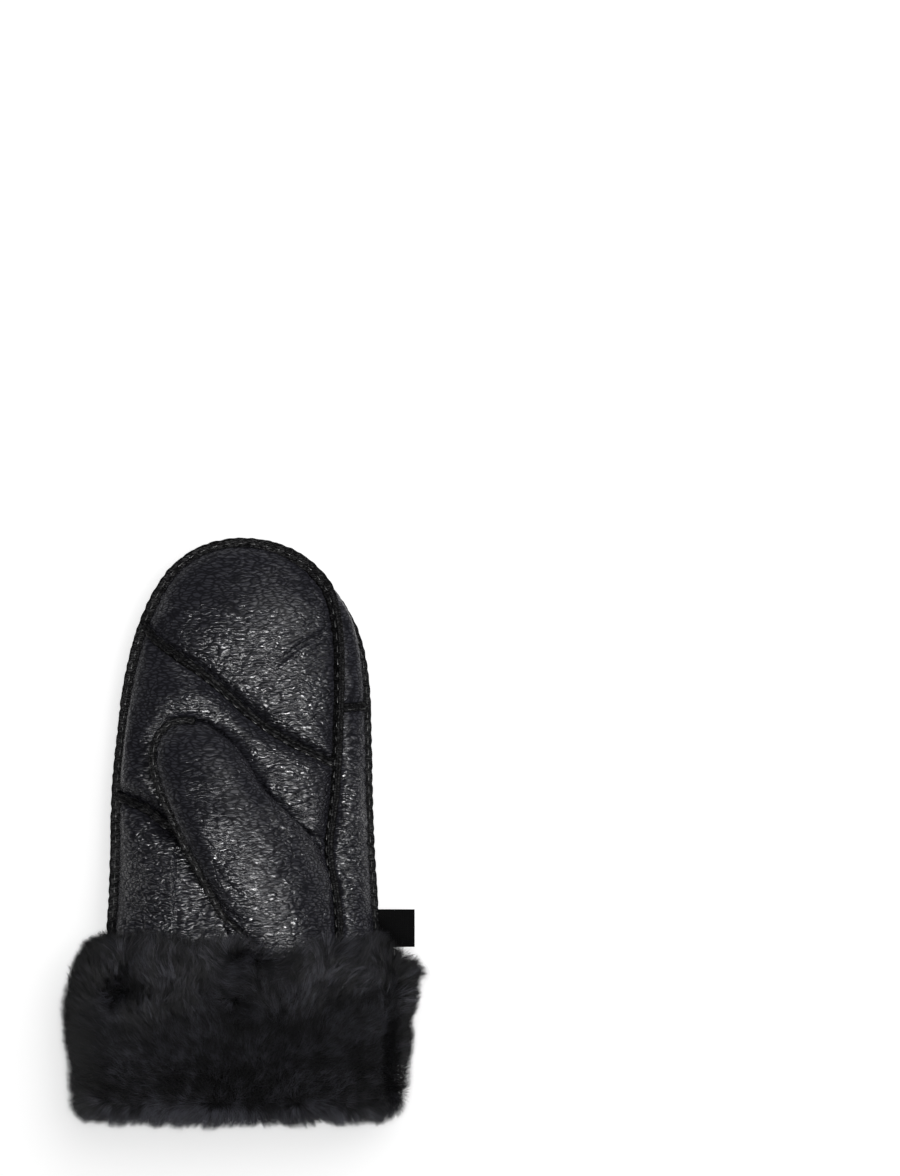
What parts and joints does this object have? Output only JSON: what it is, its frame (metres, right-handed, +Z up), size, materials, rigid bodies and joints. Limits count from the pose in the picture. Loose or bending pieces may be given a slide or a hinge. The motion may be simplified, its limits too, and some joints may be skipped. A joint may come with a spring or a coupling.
{
  "type": "leather mitten",
  "caption": "Left-hand black leather mitten with a wool lining, raised seams and a turned-back wool cuff, lying palm up.",
  "frame": {"origin": "on the surface that the mitten lies on, under the centre of its bounding box", "axes": "+Y towards the fingertip, +Z up out of the palm, +X towards the little finger's side"},
  "size_m": [0.156, 0.26, 0.0576],
  "materials": {
    "leather": "black grained sheepskin, soft sheen",
    "seam_leather": "black hide edges sewn together with black thread",
    "wool": "black dyed wool pile, combed",
    "tape": "black woven tape, bare"
  },
  "bodies": {
    "root": {"palm_tip_panel": "leather", "palm_middle_panel": "leather", "palm_side_panel": "leather", "thumb_front_panel": "leather", "thumb_back_panel": "leather", "side_strip_upper": "leather", "side_strip_lower": "leather", "back_panel": "leather", "outline_seam": "seam_leather", "strip_seam": "seam_leather", "cross_seam": "seam_leather", "diagonal_seam": "seam_leather", "side_seam": "seam_leather", "thumb_seam": "seam_leather", "wool_lining": "wool", "cuff_wool": "wool", "label_tab": "tape"}
  },
  "joints": []
}
